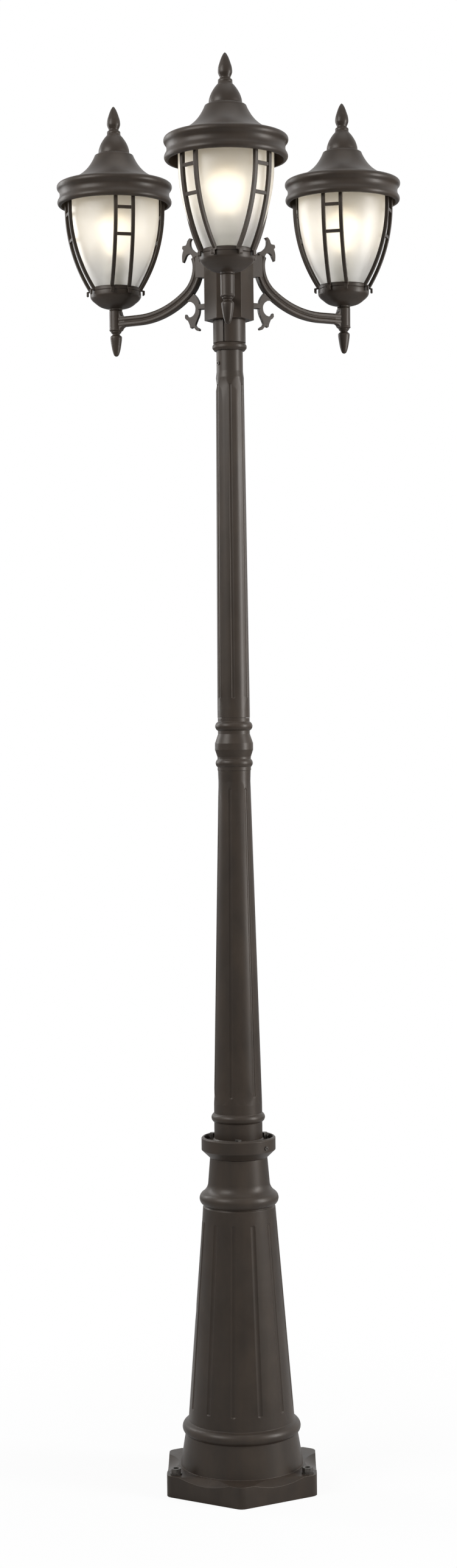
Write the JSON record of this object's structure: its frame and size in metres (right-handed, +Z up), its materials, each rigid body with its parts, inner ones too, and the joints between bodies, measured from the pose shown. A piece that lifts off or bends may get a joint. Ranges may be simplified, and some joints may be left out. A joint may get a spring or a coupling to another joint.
{
  "type": "triple head lamp post",
  "caption": "Tall garden lamp post: hexagonal foot, fluted base and shafts, hexagonal hub, scrolled arms and frosted bell lanterns with lift-off roofs.",
  "frame": {"origin": "centre of the anchor-bolt circle on the underside of the foot, on the axis of the post", "axes": "+Z up the post; -Y towards the front lantern; +X towards the right lantern's side"},
  "size_m": [0.628, 0.572, 2.5],
  "materials": {
    "bronze_paint": "satin",
    "dark_fastener": "satin",
    "zinc_steel": "satin",
    "frosted_glass": "frosted",
    "lamp_envelope": "frosted",
    "holder_ceramic": "glazed",
    "brass_tube": "satin",
    "terminal_plastic": "matte"
  },
  "bodies": {
    "post": {"base_casting": "bronze_paint", "base_collar": "bronze_paint", "lower_shaft": "bronze_paint", "shaft_knuckle": "bronze_paint", "upper_shaft": "bronze_paint", "fitter_ring": "bronze_paint", "fitter_sleeve": "bronze_paint", "hub": "bronze_paint", "hub_cap": "bronze_paint", "hub_finial": "bronze_paint", "anchor_nuts": "dark_fastener", "anchor_washers": "dark_fastener", "collar_screws": "dark_fastener", "grub_screws": "dark_fastener", "arm_screws": "zinc_steel", "tie_tube": "zinc_steel", "tie_washers": "zinc_steel", "tie_nuts": "zinc_steel", "cup_nuts": "zinc_steel", "terminal_block": "terminal_plastic", "cage_front": "bronze_paint", "cup_front": "bronze_paint", "arm_front": "bronze_paint", "drop_finial_front": "bronze_paint", "roof_bridge_front": "zinc_steel", "glass_front": "frosted_glass", "lampholder_front": "holder_ceramic", "bulb_front": "lamp_envelope", "nipple_front": "brass_tube", "cage_left": "bronze_paint", "cup_left": "bronze_paint", "arm_left": "bronze_paint", "drop_finial_left": "bronze_paint", "roof_bridge_left": "zinc_steel", "glass_left": "frosted_glass", "lampholder_left": "holder_ceramic", "bulb_left": "lamp_envelope", "nipple_left": "brass_tube", "cage_right": "bronze_paint", "cup_right": "bronze_paint", "arm_right": "bronze_paint", "drop_finial_right": "bronze_paint", "roof_bridge_right": "zinc_steel", "glass_right": "frosted_glass", "lampholder_right": "holder_ceramic", "bulb_right": "lamp_envelope", "nipple_right": "brass_tube"},
    "roof_top_front": {"roof_front": "bronze_paint", "finial_front": "bronze_paint"},
    "roof_top_left": {"roof_left": "bronze_paint", "finial_left": "bronze_paint"},
    "roof_top_right": {"roof_right": "bronze_paint", "finial_right": "bronze_paint"}
  },
  "joints": [
    {"name": "roof_lift_front", "type": "slide", "parent": "post", "child": "roof_top_front", "axis": [0, 0, 1], "range_m": [0, 0.155]},
    {"name": "roof_lift_left", "type": "slide", "parent": "post", "child": "roof_top_left", "axis": [0, 0, 1], "range_m": [0, 0.155]},
    {"name": "roof_lift_right", "type": "slide", "parent": "post", "child": "roof_top_right", "axis": [0, 0, 1], "range_m": [0, 0.155]}
  ]
}
